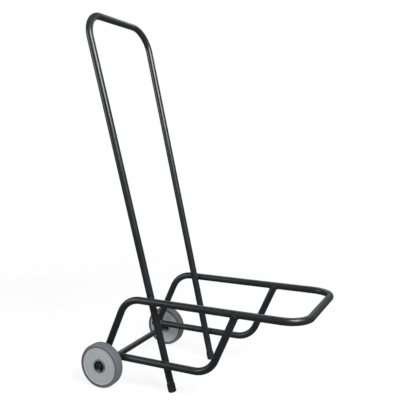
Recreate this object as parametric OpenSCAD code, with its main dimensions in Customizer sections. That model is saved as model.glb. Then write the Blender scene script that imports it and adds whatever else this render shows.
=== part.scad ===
// Two-wheeled hotel luggage cart, welded from bent round tube.
// X runs forward from the wheels to the front bar, Y to the cart's left, Z up.
// The origin lies on the floor, under the middle of the cart's overall box.
// A cart side is drawn once, for the left, and mirrored to the right.

/* [Frame tube] */
// Outside diameter of the frame tube
tube_d = 25.4; // [20:0.2:32]
// Wall thickness of the frame tube
tube_wall = 1.5; // [1:0.1:3]
// Gap left between two tubes that are welded together
weld_gap = 0.2; // [0.1:0.05:0.5]
// Width of the weld bead around a tube's end
weld_leg = 3.5; // [2:0.5:5]
// Radius of the weld bead between two crossing tubes
weld_r = 8; // [5:0.5:9]

/* [Handle] */
// Height of the top of the handle above the floor
handle_h = 1330; // [1000:10:1600]
// Lean of the handle back over the wheels, in degrees
handle_lean = 13.5; // [6:0.5:18]
// Distance from the axle forward to the feet, along the floor
foot_reach = 247; // [190:1:320]
// Middle-line radius of the handle's two top bends
handle_bend_r = 88; // [50:1:120]

/* [Platform] */
// Height of the middle of the upper rails above the floor
platform_h = 323; // [260:1:420]
// Width between the middles of the upper rails
platform_w = 395; // [300:1:500]
// Distance from the axle forward to the middle of the front bar
platform_reach = 725; // [600:5:900]
// Middle-line radius of the platform's two front corners
corner_bend_r = 74; // [45:1:110]
// Outward splay of the cart's two sides, in degrees
splay = 1.6; // [0:0.1:4]

/* [Side frames] */
// Slope of the rear legs and of the front risers, in degrees
leg_slope = 66; // [55:1:80]
// Distance from the axle back to where a leg meets its lower rail
leg_setback = 15; // [0:1:30]
// Distance from the axle forward to the lower rails' front corners
lower_reach = 401; // [320:1:500]
// Middle-line radius of the rear bends and of the lower rails' bends
side_bend_r = 85; // [45:1:110]
// Length of lower rail behind the middle of its leg
rail_tail = 22; // [18:1:40]

/* [Wheels] */
// Outside diameter of the tyres
wheel_d = 160; // [125:1:200]
// Width of the tyres
wheel_w = 36; // [32:1:50]
// Gap between a lower rail and the inner side of its wheel
wheel_gap = 14; // [9:0.5:25]
// Height of the tyre's section, from its seat to its tread
tyre_h = 20; // [16:1:24]
// Height of the tyre's ring that shows outside the rim
tyre_face = 12; // [9:0.5:14]
// Radius of the tyre's shoulders
shoulder_r = 7; // [3:0.5:8]
// Wall thickness of the moulded rim halves
rim_wall = 3; // [2:0.5:4]
// Depth of the rim's face below the side of the tyre
rim_dish = 2.5; // [1:0.5:4]
// Diameter of the round hub recess in the middle of the rim
recess_d = 50; // [48:1:60]
// Depth of the hub recess below the rim's face
recess_depth = 2.5; // [1:0.25:4]

/* [Axle] */
// Diameter of the axle bar
axle_d = 22; // [18:0.5:25]
// Length of axle that stands out past its outer clip
axle_tip = 2.5; // [2:0.5:10]
// Depth of the grooves that hold the retaining clips
groove_depth = 1.5; // [0.8:0.1:2]
// Radial clearance of the axle in the wheel bushes
run_fit = 0.08; // [0.02:0.01:0.1]
// Free play of a wheel along the axle, at each end of its hub
side_play = 0.4; // [0.3:0.1:1]
// Wall thickness of the wheel bushes
bush_wall = 2.5; // [1.5:0.5:4]
// Length of a wheel bush inside the hub
bush_len = 10; // [8:0.5:11]
// Thickness of a wheel bush's flange
flange_t = 1.5; // [1:0.25:3]
// Width of a wheel bush's flange, beyond the body of the bush
flange_w = 3.5; // [2:0.5:5]
// Diameter of the axle washers
washer_d = 44; // [41:1:46]
// Thickness of the axle washers
washer_t = 1.5; // [1:0.25:3]
// Diameter of the retaining clips
clip_d = 38; // [34:1:41]
// Thickness of the retaining clips
clip_t = 1.75; // [1:0.25:2.5]
// Width of the open mouth of a retaining clip
clip_mouth = 15; // [10:0.5:16]

/* [Feet] */
// Wall thickness of the foot caps
cap_wall = 1.6; // [1:0.1:3]
// Length of tube inside a foot cap
cap_grip = 22; // [15:1:40]
// Thickness of a foot cap's floor
cap_floor = 6; // [5:0.5:10]
// Rounding of a foot cap's lower edge
cap_round = 2.5; // [1:0.5:4]

/* [Rail plugs] */
// Thickness of the head of a rail end plug
plug_head = 3; // [2:0.5:5]
// Length of a rail end plug inside the tube
plug_stem = 14; // [8:1:18]
// Chamfer around the head of a rail end plug
plug_chamfer = 1; // [0.5:0.25:1.5]

/* [Hidden] */
$fn = 96;
tube_r = tube_d / 2;
axle_r = axle_d / 2;
wheel_r = wheel_d / 2;

// Heights and places of the rails, with the axle at X = 0
low_h = wheel_r + axle_r + weld_gap + tube_r;
drop = (platform_h - low_h) / cos(splay);
leg_run = drop / tan(leg_slope);
leg_len = drop / sin(leg_slope);
rear_x = leg_run - leg_setback;
riser_x = leg_run + lower_reach;
tail_x = -leg_setback - rail_tail;

// Middle of a side rail, and of an upright that is welded inside it, at height z
function side_y(z) = platform_w / 2 + (z - platform_h) * tan(splay);
function upright_y(z) = side_y(z) - (tube_d + weld_gap) / cos(splay);
function upright_x(z) = foot_reach - z * tan(handle_lean);

// The handle lies in a leaning plane, in which its uprights splay by handle_splay
top_bar_h = handle_h - tube_r;
handle_splay = atan(tan(splay) * cos(handle_lean));
upright_len = top_bar_h / cos(handle_lean) / cos(handle_splay);
handle_turn = 90 + handle_splay;

// Straight tube and bend become one piece under a hair-thick band
joint_gap = 0.1;
band_w = 1;
hair = 0.06;

// Length that each bend takes off the straight tube on either side of it
handle_cut = handle_bend_r * tan(handle_turn / 2);
corner_cut = corner_bend_r;
side_cut = side_bend_r * tan(leg_slope / 2);

// The overall box, which sets the origin
front_x = platform_reach + tube_r;
back_x = min(-wheel_r, upright_x(top_bar_h) - tube_r);
mid_x = (front_x + back_x) / 2;
floor_block = [3 * platform_reach, 2 * platform_w, wheel_r];

// The wheel, along its own axis from its middle plane
wheel_y = side_y(low_h) + tube_r + wheel_gap + wheel_w / 2;
seat_r = wheel_r - tyre_h;
face_r = wheel_r - tyre_face;
rim_face = wheel_w / 2 - rim_dish;
flange_seat = rim_face - rim_wall;
recess_r = recess_d / 2;
hub_face = rim_face - recess_depth;
bore_r = axle_r + run_fit;
bush_r = bore_r + bush_wall;
hub_wall = 2 * rim_wall;
ring_w = 2.5;
ring_t = 0.8;
washer_z = hub_face + flange_t + side_play;
clip_z = washer_z + washer_t;
axle_half = wheel_y + clip_z + clip_t + axle_tip;
groove_r = axle_r - groove_depth;
axle_chamfer = 1.5;
bead_fit = 0.05;
clip_pocket_r = 3;
clip_pocket_turn = 55;
clip_turn = 10;

tube_colour = [0.09, 0.1, 0.11];
weld_colour = [0.11, 0.12, 0.13];
cap_colour = [0.07, 0.07, 0.07];
tyre_colour = [0.4, 0.43, 0.46];
rim_colour = [0.64, 0.67, 0.68];
bush_colour = [0.85, 0.84, 0.8];
zinc_colour = [0.72, 0.73, 0.74];

// Frames of reference

module cart() {
    translate([-mid_x, 0, 0]) children();
}

module left() {
    cart() children();
}

module right() {
    cart() mirror([0, 1, 0]) children();
}

module both_sides() {
    left() children();
    right() children();
}

// The leaning plane of the left side: X along the upper rail, Z up the side
module side_plane() {
    translate([0, platform_w / 2, platform_h]) rotate([-splay, 0, 0]) children();
}

// The leaning plane of the handle: Y across, Z up the lean from the floor
module handle_plane() {
    translate([foot_reach, 0, 0]) rotate([0, -handle_lean, 0]) children();
}

// The middle line of the left upright: Z up the tube from the floor
module upright_line() {
    handle_plane() translate([0, upright_y(0), 0]) rotate([-handle_splay, 0, 0]) children();
}

// The left wheel's axis: Z outward from the wheel's middle plane
module wheel_axis() {
    translate([0, wheel_y, wheel_r]) rotate([-90, 0, 0]) children();
}

// One end of the wheel's hub: the outer end, or the inner one when turned round
module hub_end(inner) {
    wheel_axis() rotate([inner ? 180 : 0, 0, 0]) children();
}

// Tube pieces

module tube_section() {
    difference() {
        circle(r = tube_r);
        circle(r = tube_r - tube_wall);
    }
}

// A straight tube up Z, a hair short at both ends so that a band can close the joint
module straight(length) {
    translate([0, 0, joint_gap]) linear_extrude(length - 2 * joint_gap) tube_section();
}

// The hair-thick band where a straight tube runs into a bend
module joint_band() {
    linear_extrude(band_w, center = true) difference() {
        circle(r = tube_r + hair);
        circle(r = tube_r - tube_wall - hair);
    }
}

// A bend that starts up Z and turns towards X
module bend(bend_r, angle) {
    joint_band();
    translate([bend_r, 0, 0])
        rotate([90, 0, 180])
            rotate_extrude(angle = angle)
                translate([bend_r, 0]) tube_section();
    after_bend(bend_r, angle) joint_band();
}

// The end of such a bend, with Z along the tube that leaves it
module after_bend(bend_r, angle) {
    translate([bend_r * (1 - cos(angle)), 0, bend_r * sin(angle)])
        rotate([0, angle, 0]) children();
}

// A rod along X, centred
module rod_x(r, length) {
    rotate([0, 90, 0]) cylinder(r = r, h = length, center = true);
}

// Handle

module handle_side() {
    upright_line() {
        translate([0, 0, cap_floor]) straight(upright_len - handle_cut - cap_floor);
        translate([0, 0, upright_len - handle_cut])
            rotate([0, 0, -90]) bend(handle_bend_r, handle_turn);
    }
}

module handle_top_bar() {
    half_bar = upright_y(top_bar_h) - handle_cut;
    handle_plane()
        translate([0, -half_bar, top_bar_h / cos(handle_lean)])
            rotate([-90, 0, 0]) straight(2 * half_bar);
}

module handle_frame() {
    color(tube_colour) {
        both_sides() handle_side();
        cart() handle_top_bar();
    }
}

// Platform

module platform_side() {
    side_plane() {
        translate([rear_x + side_cut, 0, 0])
            rotate([0, 90, 0]) straight(platform_reach - corner_cut - rear_x - side_cut);
        translate([rear_x + side_cut, 0, 0])
            rotate([0, -90, 0]) rotate([0, 0, 180]) {
                bend(side_bend_r, leg_slope);
                after_bend(side_bend_r, leg_slope) straight(leg_len - side_cut);
            }
    }
    translate([platform_reach - corner_cut, platform_w / 2, platform_h])
        rotate([0, 90, 0]) rotate([0, 0, -90]) bend(corner_bend_r, 90);
}

module front_bar() {
    half_bar = platform_w / 2 - corner_cut;
    translate([platform_reach, -half_bar, platform_h])
        rotate([-90, 0, 0]) straight(2 * half_bar);
}

module platform_loop() {
    color(tube_colour) difference() {
        union() {
            both_sides() platform_side();
            cart() front_bar();
        }
        both_sides()
            side_plane() translate([tail_x, 0, -drop]) rod_x(tube_r + weld_gap, 4 * rail_tail + tube_d);
    }
}

// Lower rails, each with its riser

module lower_rail() {
    color(tube_colour) side_plane() difference() {
        translate([0, 0, -drop]) {
            translate([tail_x, 0, 0])
                rotate([0, 90, 0]) straight(lower_reach - side_cut - tail_x);
            translate([lower_reach - side_cut, 0, 0])
                rotate([0, 90, 0]) rotate([0, 0, 180]) {
                    bend(side_bend_r, leg_slope);
                    after_bend(side_bend_r, leg_slope) straight(leg_len - side_cut);
                }
        }
        translate([riser_x, 0, 0]) rod_x(tube_r + weld_gap, 4 * tube_d);
    }
}

// Weld beads

// A bead around a tube that runs up into a rail along X, at the given slope
module tee_bead(slope) {
    difference() {
        intersection() {
            rod_x(tube_r + weld_leg, 3 * tube_d);
            rotate([0, 90 - slope, 0]) cylinder(r = tube_r + weld_leg + bead_fit, h = 2 * tube_d);
        }
        rod_x(tube_r, 4 * tube_d);
        rotate([0, 90 - slope, 0]) cylinder(r = tube_r + bead_fit, h = 6 * tube_d, center = true);
    }
}

// A bead between a rail along X, above, and a rod under it that is turned from X
module cross_bead(rod_r, turn) {
    rail_rise = tube_r + weld_gap / 2;
    rod_fall = rod_r + weld_gap / 2;
    difference() {
        translate([0, 0, -rod_fall]) cylinder(r = weld_r, h = rod_fall + rail_rise);
        translate([0, 0, rail_rise]) rod_x(tube_r, 2 * tube_d);
        translate([0, 0, -rod_fall]) rotate([0, 0, turn]) rod_x(rod_r, 2 * tube_d);
    }
}

module weld_beads_uprights() {
    across = atan2(1 / cos(splay), tan(handle_lean));
    // Square to the side's leaning plane, a rail faces its upright this much higher up
    rise = (tube_d + weld_gap) * sin(splay);
    color(weld_colour) both_sides() side_plane()
        for (rail_h = [platform_h, low_h])
            translate([upright_x(rail_h + rise), -(tube_d + weld_gap) / 2, (rail_h - platform_h) / cos(splay)])
                rotate([-90, 0, 0]) cross_bead(tube_r, across);
}

module weld_beads_risers() {
    color(weld_colour) both_sides() side_plane()
        translate([riser_x, 0, 0]) rotate([0, 180, 0]) tee_bead(leg_slope);
}

module weld_beads_legs() {
    color(weld_colour) both_sides() side_plane()
        translate([-leg_setback, 0, -drop]) tee_bead(leg_slope);
}

module weld_beads_axle() {
    color(weld_colour) both_sides()
        translate([0, side_y(low_h), wheel_r + axle_r + weld_gap / 2]) cross_bead(axle_r, 90);
}

// Foot caps and rail plugs

module foot_cap() {
    cap_r = tube_r + cap_wall;
    color(cap_colour) difference() {
        upright_line() rotate_extrude() difference() {
            square([cap_r, cap_floor + cap_grip]);
            translate([0, cap_floor]) square([tube_r, cap_grip + 1]);
            translate([cap_r - cap_round, 0]) difference() {
                translate([0, -1]) square([cap_round + 1, cap_round + 1]);
                translate([0, cap_round]) circle(r = cap_round);
            }
        }
        translate([-floor_block[0] / 2, -floor_block[1] / 2, -floor_block[2]]) cube(floor_block);
    }
}

module rail_plug() {
    stem_r = tube_r - tube_wall;
    color(cap_colour) side_plane() translate([tail_x, 0, -drop]) rotate([0, -90, 0]) {
        translate([0, 0, -plug_stem]) cylinder(r = stem_r, h = plug_stem);
        cylinder(r = tube_r, h = plug_head - plug_chamfer);
        translate([0, 0, plug_head - plug_chamfer])
            cylinder(r1 = tube_r, r2 = tube_r - plug_chamfer, h = plug_chamfer);
    }
}

// Axle

module axle_half_bar() {
    rotate([-90, 0, 0]) {
        cylinder(r = axle_r, h = axle_half - axle_chamfer);
        translate([0, 0, axle_half - axle_chamfer])
            cylinder(r1 = axle_r, r2 = axle_r - axle_chamfer, h = axle_chamfer);
    }
}

module clip_groove() {
    translate([0, 0, clip_z]) difference() {
        cylinder(r = axle_r + 1, h = clip_t);
        translate([0, 0, -1]) cylinder(r = groove_r, h = clip_t + 2);
    }
}

module axle() {
    color(tube_colour) difference() {
        both_sides() translate([0, 0, wheel_r]) axle_half_bar();
        both_sides() for (inner = [false, true]) hub_end(inner) clip_groove();
    }
}

// Wheels

module tyre() {
    color(tyre_colour) wheel_axis() rotate_extrude() difference() {
        union() {
            translate([seat_r, -wheel_w / 2]) square([tyre_h - shoulder_r, wheel_w]);
            translate([seat_r, shoulder_r - wheel_w / 2]) square([tyre_h, wheel_w - 2 * shoulder_r]);
            for (side = [-1, 1])
                translate([wheel_r - shoulder_r, side * (wheel_w / 2 - shoulder_r)]) circle(r = shoulder_r);
        }
        for (side = [0, 1]) mirror([0, side])
            translate([seat_r - 1, flange_seat]) square([face_r - seat_r + 1, wheel_w]);
    }
}

// A rim half: barrel and flange that hold the tyre, dished face, raised rings, recessed hub
module rim_half(inner) {
    color(rim_colour) hub_end(inner) rotate_extrude() {
        translate([seat_r - rim_wall, 0]) square([rim_wall, rim_face]);
        translate([recess_r, flange_seat]) square([face_r - recess_r, rim_wall]);
        translate([face_r - ring_w, flange_seat]) square([ring_w, rim_wall + ring_t]);
        translate([(face_r + recess_r) / 2, flange_seat]) square([ring_w, rim_wall + ring_t]);
        translate([recess_r, hub_face - rim_wall]) square([rim_wall, recess_depth + rim_wall]);
        translate([bush_r, hub_face - rim_wall]) square([recess_r + 1 - bush_r, rim_wall]);
        translate([bush_r, 0]) square([hub_wall, hub_face]);
    }
}

module bush(inner) {
    color(bush_colour) hub_end(inner) rotate_extrude() {
        translate([bore_r, hub_face - bush_len]) square([bush_wall, bush_len + flange_t]);
        translate([bore_r, hub_face]) square([bush_wall + flange_w, flange_t]);
    }
}

module washer(inner) {
    color(zinc_colour) hub_end(inner) translate([0, 0, washer_z])
        linear_extrude(washer_t) difference() {
            circle(d = washer_d);
            circle(r = axle_r + run_fit);
        }
}

// A snap-on retaining clip, with its mouth towards the floor
module clip(inner) {
    mouth_side = inner ? 180 : 0;
    color(tube_colour) hub_end(inner) translate([0, 0, clip_z])
        rotate([0, 0, mouth_side + clip_turn]) linear_extrude(clip_t) difference() {
            circle(d = clip_d);
            circle(r = groove_r);
            translate([-clip_mouth / 2, 0]) square([clip_mouth, clip_d]);
            for (pocket_turn = [-clip_pocket_turn, clip_pocket_turn])
                rotate([0, 0, pocket_turn]) translate([0, -axle_r]) circle(r = clip_pocket_r);
        }
}

handle_frame();
platform_loop();
left() lower_rail();  // lower_rail_left
right() lower_rail();  // lower_rail_right
weld_beads_uprights();
weld_beads_risers();
weld_beads_legs();
weld_beads_axle();
left() foot_cap();  // foot_cap_left
right() foot_cap();  // foot_cap_right
left() rail_plug();  // rail_plug_left
right() rail_plug();  // rail_plug_right
axle();
left() tyre();  // tyre_left
left() rim_half(false);  // rim_outer_left
left() rim_half(true);  // rim_inner_left
left() bush(false);  // bush_outer_left
left() bush(true);  // bush_inner_left
left() washer(false);  // washer_outer_left
left() washer(true);  // washer_inner_left
left() clip(false);  // clip_outer_left
left() clip(true);  // clip_inner_left
right() tyre();  // tyre_right
right() rim_half(false);  // rim_outer_right
right() rim_half(true);  // rim_inner_right
right() bush(false);  // bush_outer_right
right() bush(true);  // bush_inner_right
right() washer(false);  // washer_outer_right
right() washer(true);  // washer_inner_right
right() clip(false);  // clip_outer_right
right() clip(true);  // clip_inner_right
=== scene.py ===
import math

import bmesh
import bpy
from bpy.props import FloatProperty, FloatVectorProperty, IntProperty, PointerProperty
from mathutils import Matrix, Vector


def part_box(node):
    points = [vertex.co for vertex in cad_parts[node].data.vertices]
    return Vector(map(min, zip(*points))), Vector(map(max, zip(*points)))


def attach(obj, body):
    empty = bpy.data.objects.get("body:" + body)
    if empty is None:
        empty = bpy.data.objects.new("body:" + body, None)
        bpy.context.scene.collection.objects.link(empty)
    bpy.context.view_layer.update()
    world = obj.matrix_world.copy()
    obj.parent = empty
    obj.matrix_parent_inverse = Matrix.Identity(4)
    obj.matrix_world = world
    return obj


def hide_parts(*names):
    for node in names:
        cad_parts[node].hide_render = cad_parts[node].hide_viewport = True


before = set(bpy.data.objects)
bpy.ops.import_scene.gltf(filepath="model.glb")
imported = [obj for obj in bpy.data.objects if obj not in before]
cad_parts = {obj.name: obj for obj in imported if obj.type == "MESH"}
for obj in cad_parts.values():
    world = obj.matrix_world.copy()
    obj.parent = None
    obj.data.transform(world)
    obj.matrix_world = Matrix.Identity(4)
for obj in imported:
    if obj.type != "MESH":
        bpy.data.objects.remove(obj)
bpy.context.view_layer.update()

bl_info = {
    "name": "Hotel Luggage Cart",
    "version": (1, 0, 0),
    "blender": (4, 5, 0),
    "location": "3D View > Sidebar > Luggage Cart",
    "description": "Finishes, weld beads, wheels, feet and studio for a welded luggage cart",
    "category": "Object",
}

SIDES = {"left": 1, "right": -1}
ENDS = {"outer": 1, "inner": -1}


# ---------------------------------------------------------------- measuring the frame

def box_middle(node):
    low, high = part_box(node)
    return (low + high) / 2


def box_size(node):
    low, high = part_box(node)
    return high - low


def radii(node, middle):
    """Least and greatest distance of a CAD node from an axis along Y."""
    reach = [math.hypot(v.co.x - middle.x, v.co.z - middle.z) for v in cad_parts[node].data.vertices]
    return min(reach), max(reach)


def level_cut(node, height, side):
    """Middle and half size of a CAD tube where it crosses a level, on one side of the cart."""
    mesh = bmesh.new()
    mesh.from_mesh(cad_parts[node].data)
    parts = mesh.verts[:] + mesh.edges[:] + mesh.faces[:]
    cut = bmesh.ops.bisect_plane(mesh, geom=parts, plane_co=(0, 0, height), plane_no=(0, 0, 1))["geom_cut"]
    places = [p.co.copy() for p in cut if isinstance(p, bmesh.types.BMVert) and p.co.y * side > 0]
    mesh.free()
    low = Vector([min(p[i] for p in places) for i in range(3)])
    high = Vector([max(p[i] for p in places) for i in range(3)])
    return (low + high) / 2, (high - low) / 2


TUBE_R = box_size("rail_plug_left").z / 2
LOW_RAIL = box_middle("rail_plug_left")
HIGH_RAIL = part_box("platform_loop")[1] - Vector((TUBE_R, TUBE_R, TUBE_R))
AXLE_R = box_size("axle").z / 2
AXLE_H = box_middle("axle").z
# Levels between the rails at which legs and risers run straight
LOWER_LEVEL = LOW_RAIL.z + 0.4 * (HIGH_RAIL.z - LOW_RAIL.z)
UPPER_LEVEL = LOW_RAIL.z + 0.6 * (HIGH_RAIL.z - LOW_RAIL.z)


def rail_y(height, side):
    """Sideways place of a cart side's leaning plane at a height."""
    climb = (height - LOW_RAIL.z) / (HIGH_RAIL.z - LOW_RAIL.z)
    return side * (LOW_RAIL.y + climb * (HIGH_RAIL.y - LOW_RAIL.y))


def tube_line(node, side, lower=LOWER_LEVEL, upper=UPPER_LEVEL):
    """A point on the middle line of a straight CAD tube, and the line's upward direction."""
    start = level_cut(node, lower, side)[0]
    return start, (level_cut(node, upper, side)[0] - start).normalized()


def at_level(line, height):
    start, way = line
    return start + way * ((height - start.z) / way.z)


# ---------------------------------------------------------------- settings

def length(name, description, default, low, high):
    return FloatProperty(
        name=name, description=description, default=default, min=low, max=high,
        subtype="DISTANCE", unit="LENGTH")


def colour(name, description, default):
    return FloatVectorProperty(
        name=name, description=description, default=default, size=3, min=0, max=1, subtype="COLOR")


def share(name, description, default):
    return FloatProperty(
        name=name, description=description, default=default, min=0, max=1, subtype="FACTOR")


def power(name, description, default):
    return FloatProperty(name=name, description=description, default=default, min=0, unit="POWER")


class CartFinishSettings(bpy.types.PropertyGroup):
    coat_colour: colour("Coat colour", "Colour of the powder coat on the tubes", (0.0085, 0.0094, 0.0108))
    coat_roughness: share("Coat roughness", "Roughness of the powder coat", 0.33)
    peel_size: length("Orange peel", "Size of the dimples in the powder coat", 0.0022, 0.0005, 0.01)
    dust_colour: colour("Dust colour", "Colour of the dust that settles on upper faces", (0.22, 0.21, 0.19))
    cap_colour: colour("Cap colour", "Colour of the rubber foot caps", (0.0105, 0.0105, 0.011))
    plug_colour: colour("Plug colour", "Colour of the plastic rail plugs", (0.014, 0.014, 0.015))
    zinc_colour: colour("Zinc colour", "Colour of the plated washers", (0.5, 0.505, 0.51))
    clip_colour: colour("Clip colour", "Colour of the blackened retaining clips", (0.02, 0.02, 0.022))
    bush_colour: colour("Bush colour", "Colour of the nylon wheel bushes", (0.6, 0.59, 0.55))


class CartWeldSettings(bpy.types.PropertyGroup):
    bead_side: length("Bead width", "Half width of a weld bead along the tubes", 0.0036, 0.001, 0.006)
    bead_rise: length("Bead height", "Half height of a weld bead above the tubes", 0.0027, 0.001, 0.006)
    puddle_reach: length("Puddle reach", "Radius of a bead between crossing tubes", 0.0082, 0.004, 0.012)
    ripple_pitch: length("Ripple pitch", "Distance between two ripples of a bead", 0.0021, 0.001, 0.005)
    ripple_depth: share("Ripple depth", "Depth of the ripples, as a share of the bead", 0.13)


class CartWheelSettings(bpy.types.PropertyGroup):
    tyre_colour: colour("Tyre colour", "Colour of the grey rubber tyres", (0.098, 0.109, 0.121))
    rim_colour: colour("Rim colour", "Colour of the moulded rims", (0.31, 0.33, 0.34))
    shoulder: length("Tyre shoulder", "Radius of the tyre's shoulders", 0.007, 0.002, 0.008)
    groove_width: length("Tread groove", "Width of the fine grooves round the tread", 0.0012, 0.0005, 0.003)
    groove_depth: length("Groove depth", "Depth of the fine grooves round the tread", 0.0007, 0.0002, 0.002)
    rim_wall: length("Rim wall", "Wall thickness of the moulded rim halves", 0.003, 0.0015, 0.005)
    ring_width: length("Ring width", "Width of the raised rings on the rim", 0.0025, 0.001, 0.005)
    ring_rise: length("Ring rise", "Height of the raised rings on the rim", 0.0008, 0.0003, 0.002)
    rim_dish: length("Rim dish", "Depth of the rim's face below the tyre's side", 0.0025, 0.001, 0.004)
    recess_radius: length("Hub recess", "Radius of the round recess in the hub", 0.025, 0.024, 0.03)
    recess_depth: length("Recess depth", "Depth of the recess below the rim's face", 0.0025, 0.001, 0.004)
    pips: IntProperty(
        name="Moulding pips", description="Ejector pin marks round a rim face", default=6, min=0, max=12)


class CartStageSettings(bpy.types.PropertyGroup):
    backdrop: share("Backdrop", "Brightness of the background", 1.0)
    floor_colour: colour("Floor colour", "Colour of the studio floor", (0.93, 0.93, 0.93))
    room_light: share("Room light", "Brightness of the room that lights the cart", 0.265)
    key_power: power("Key power", "Power of the large key light", 150)
    fill_power: power("Fill power", "Power of the fill light", 38)
    back_power: power("Back power", "Power of the light behind", 22)


def settings(name):
    return getattr(bpy.context.scene, name)


# ---------------------------------------------------------------- mesh helpers

WHOLE_TURN = 2 * math.pi
# Edges bent less than this are shaded as one smooth surface
SMOOTH_ANGLE = math.radians(38)
# Edges bent more than this count as a solid's own corners
CORNER_ANGLE = math.radians(50)
FLAT_ANGLE = math.radians(1)
MERGE_DISTANCE = 1e-6


def add_piece(mesh, name, body, stands_for=(), material=None):
    """A finished bmesh becomes a piece of the cart, with its place in its mesh."""
    for face in mesh.faces:
        face.smooth = True
    for edge in mesh.edges:
        edge.smooth = len(edge.link_faces) == 2 and edge.calc_face_angle(0) < SMOOTH_ANGLE
    data = bpy.data.meshes.new(name)
    mesh.to_mesh(data)
    mesh.free()
    data.materials.append(material)
    piece = bpy.data.objects.new(name, data)
    bpy.context.scene.collection.objects.link(piece)
    weighted = piece.modifiers.new("Even shading", "WEIGHTED_NORMAL")
    weighted.keep_sharp = True
    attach(piece, body)
    if stands_for:
        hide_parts(*stands_for)
    return piece


def finish_cad(nodes, material):
    """CAD nodes that keep their shape get their material."""
    for node in nodes:
        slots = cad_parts[node].data.materials
        slots.clear()
        slots.append(material)


def placed(origin, along, across=Vector((1, 0, 0))):
    """The turn and move that take local Z to a direction, from an origin."""
    up = along.normalized()
    side = (across - up * across.dot(up)).normalized()
    turn = Matrix((side, up.cross(side), up)).transposed().to_4x4()
    return Matrix.Translation(origin) @ turn


def turned(outline, steps, rounding=0.0, plain=()):
    """A closed outline of (radius, height) corners is rounded, then spun round Z."""
    mesh = bmesh.new()
    corners = [mesh.verts.new((radius, 0, height)) for radius, height in outline]
    mesh.faces.new(corners)
    if rounding:
        soft = [v for i, v in enumerate(corners) if i not in plain and v.co.x > MERGE_DISTANCE]
        bmesh.ops.bevel(
            mesh, geom=soft, affect="VERTICES", offset=rounding, offset_type="OFFSET",
            segments=3, profile=0.5, material=-1, clamp_overlap=True)
    bmesh.ops.delete(mesh, geom=mesh.faces[:], context="FACES_ONLY")
    bmesh.ops.spin(
        mesh, geom=mesh.verts[:] + mesh.edges[:], cent=(0, 0, 0), axis=(0, 0, 1),
        angle=WHOLE_TURN, steps=steps, use_merge=True)
    bmesh.ops.remove_doubles(mesh, verts=mesh.verts[:], dist=MERGE_DISTANCE)
    bmesh.ops.recalc_face_normals(mesh, faces=mesh.faces[:])
    return mesh


def merged_copy(node):
    """A copy of a CAD node with its flat faces whole again, ready to be bevelled."""
    mesh = bmesh.new()
    mesh.from_mesh(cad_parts[node].data)
    bmesh.ops.remove_doubles(mesh, verts=mesh.verts[:], dist=MERGE_DISTANCE)
    bmesh.ops.dissolve_limit(mesh, angle_limit=FLAT_ANGLE, verts=mesh.verts[:], edges=mesh.edges[:])
    return mesh


def bevel_corners(mesh, width):
    """Rounds the sharp edges of a solid."""
    sharp = [e for e in mesh.edges if len(e.link_faces) == 2 and e.calc_face_angle(0) > CORNER_ANGLE]
    bmesh.ops.bevel(
        mesh, geom=sharp, affect="EDGES", offset=width, offset_type="OFFSET",
        segments=2, profile=0.5, material=-1, clamp_overlap=True)
    return mesh


# ---------------------------------------------------------------- weld beads

SECTION_POINTS = 14
STEPS_A_RIPPLE = 6
# How far a ripple trails from the middle of the bead to its edges, in ripples
RIPPLE_TRAIL = 0.35
# Slow changes of a bead's width: share of the width, turns round the bead, phase
WANDERS = ((0.07, 3, 1), (0.05, 7, 0))
SPIN_R = 2.0
FEWEST_RIPPLES = 12
# The end tube of a joint is taken a little slimmer than the rail, which rounds the bead's two corners
SLIM_END = 0.985
# Length of the bead round a tube's saddle cut, compared with a square cut
SADDLE_STRETCH = 1.15
# Share of a bead's width that a crossing bead laps onto its tubes
LAP = 0.4


def ripple_bead(mesh, path, perimeter):
    """A closed bead: a spun ring whose sections are carried to a path, with ripples along it."""
    weld = settings("cart_weld")
    count = max(FEWEST_RIPPLES, round(perimeter / weld.ripple_pitch))
    known = set(mesh.verts)
    stand_up = Matrix.Translation((SPIN_R, 0, 0)) @ Matrix.Rotation(math.pi / 2, 4, "X")
    ring = bmesh.ops.create_circle(
        mesh, cap_ends=False, radius=1, segments=SECTION_POINTS, matrix=stand_up)["verts"]
    edges = list({edge for vert in ring for edge in vert.link_edges})
    bmesh.ops.spin(
        mesh, geom=ring + edges, cent=(0, 0, 0), axis=(0, 0, 1),
        angle=WHOLE_TURN, steps=count * STEPS_A_RIPPLE, use_merge=True)
    for vert in mesh.verts:
        if vert in known:
            continue
        turn = math.atan2(vert.co.y, vert.co.x)
        rise = math.hypot(vert.co.x, vert.co.y) - SPIN_R
        across = vert.co.z
        phase = turn * count / 2 + RIPPLE_TRAIL * math.pi * across * across
        swell = 1 + weld.ripple_depth * (abs(math.sin(phase)) - 1)
        wander = 1 + sum(size * math.sin(turns * turn + shift) for size, turns, shift in WANDERS)
        place, out, side, half_rise, half_side = path(turn)
        vert.co = place + out * (rise * half_rise * swell) + side * (across * half_side * swell * wander)


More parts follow.
